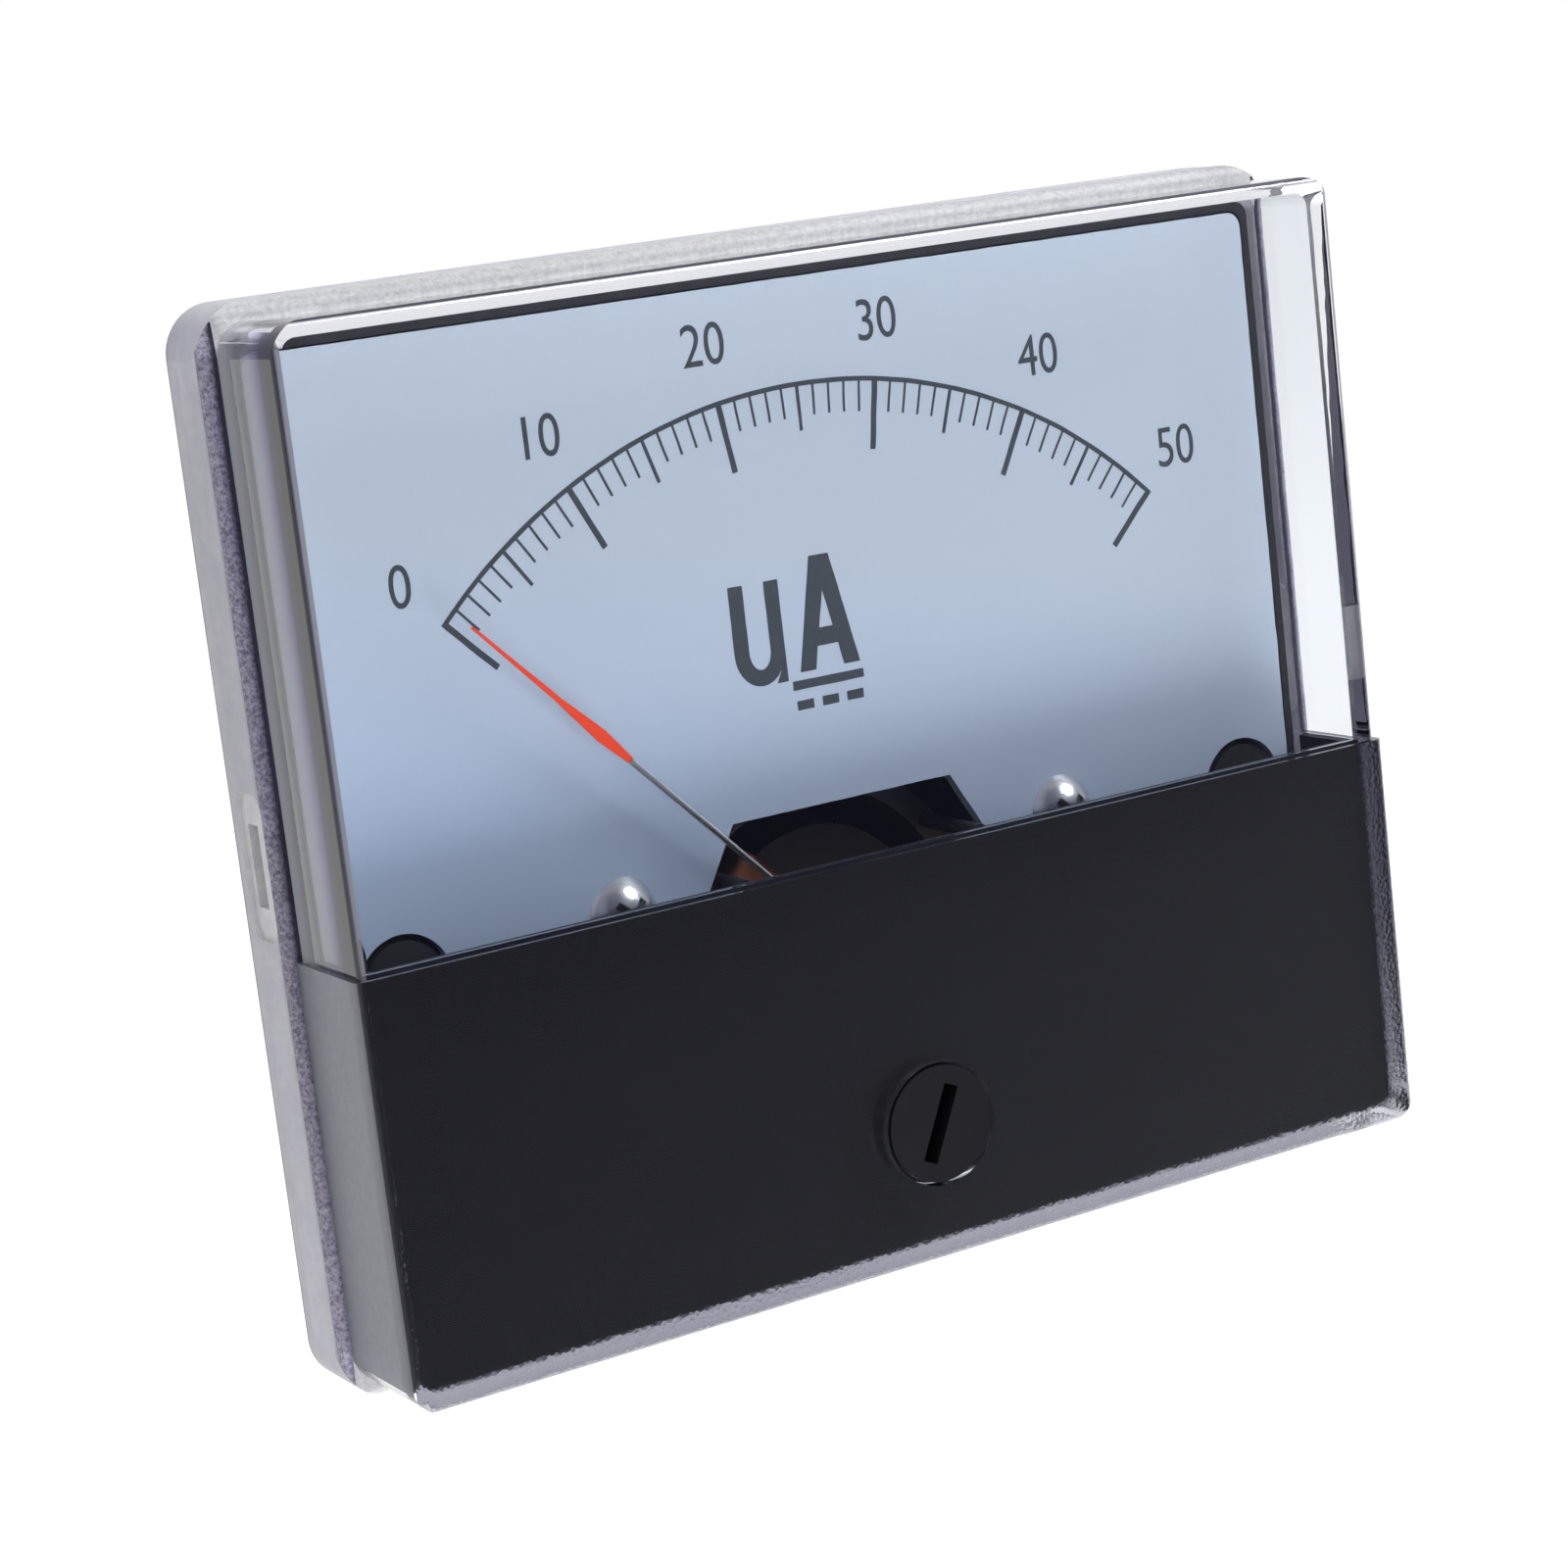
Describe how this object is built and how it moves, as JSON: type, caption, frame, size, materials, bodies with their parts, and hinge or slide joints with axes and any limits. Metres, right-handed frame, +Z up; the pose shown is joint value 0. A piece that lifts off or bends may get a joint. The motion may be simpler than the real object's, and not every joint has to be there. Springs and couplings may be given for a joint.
{
  "type": "analog panel meter",
  "caption": "Rectangular moving-coil panel meter with a clear push-fit cover, a pale dial with a curved scale, a black grained lower part and a round rear drum with stud terminals.",
  "frame": {"origin": "centre of the panel face, where the flange meets the panel", "axes": "+X right and +Z up as seen from the front, +Y into the panel, so the dial faces -Y"},
  "size_m": [0.07, 0.0473, 0.06],
  "materials": {
    "clear_plastic": "clear, polished, grained lower part",
    "black_grained": "fine leather grain",
    "black_gloss": "smooth moulded",
    "black_moulded": "moulded, satin",
    "dial_paint": "pale blue-grey satin paint on sheet metal",
    "bright_metal": "nickel plated",
    "cast_metal": "die cast",
    "brass": "turned or stamped",
    "magnet": "ground, dark",
    "yoke_iron": "dull zinc",
    "copper": "enamelled copper",
    "light_metal": "drawn",
    "pointer_red": "red paint",
    "jewel_red": "polished",
    "fibre": "laminated"
  },
  "bodies": {
    "case": {"clear_cover": "clear_plastic", "mask_insert": "black_grained", "base_housing": "black_moulded", "dial_plate": "dial_paint", "dial_screws": "bright_metal", "yoke_ring": "yoke_iron", "core_magnet": "magnet", "movement_frame": "cast_metal", "movement_screws": "bright_metal", "front_bridge": "brass", "bridge_screws": "bright_metal", "front_jewel_screw": "brass", "front_jewel_nut": "brass", "front_jewel": "jewel_red", "rear_jewel_screw": "brass", "rear_jewel_nut": "brass", "rear_jewel": "jewel_red", "rear_hairspring": "brass", "rear_spring_tab": "brass", "tab_bush": "fibre", "tab_rivet": "brass", "pointer_stops": "black_moulded", "panel_studs": "bright_metal", "terminal_studs": "brass", "terminal_washers": "bright_metal", "solder_tags": "bright_metal", "terminal_nuts": "brass", "connection_straps": "copper"},
    "moving_element": {"coil_former": "light_metal", "moving_coil": "copper", "front_pivot": "bright_metal", "rear_pivot": "bright_metal", "balance_cross": "light_metal", "balance_weights": "brass", "pointer_tube": "light_metal", "pointer_lance": "pointer_red"},
    "zero_arm": {"zero_lever": "brass", "front_hairspring": "brass"},
    "adjuster": {"zero_screw": "black_gloss", "screw_retainer": "bright_metal"}
  },
  "joints": [
    {"name": "pointer_swing", "type": "hinge", "parent": "case", "child": "moving_element", "pos_m": [0, 0, -0.0121], "axis": [0, 1, 0], "range_deg": [-3, 93], "stiffness_Nm_per_rad": 0.00002},
    {"name": "zero_screw_turn", "type": "hinge", "parent": "case", "child": "adjuster", "pos_m": [0, 0, -0.02105], "axis": [0, 1, 0], "range_deg": [-40, 40]},
    {"name": "zero_arm_turn", "type": "hinge", "parent": "case", "child": "zero_arm", "pos_m": [0, 0, -0.0121], "axis": [0, 1, 0], "range_deg": [-7, 7]}
  ],
  "couplings": [
    {"joint": "zero_arm_turn", "follows": "zero_screw_turn", "ratio": -0.155}
  ]
}
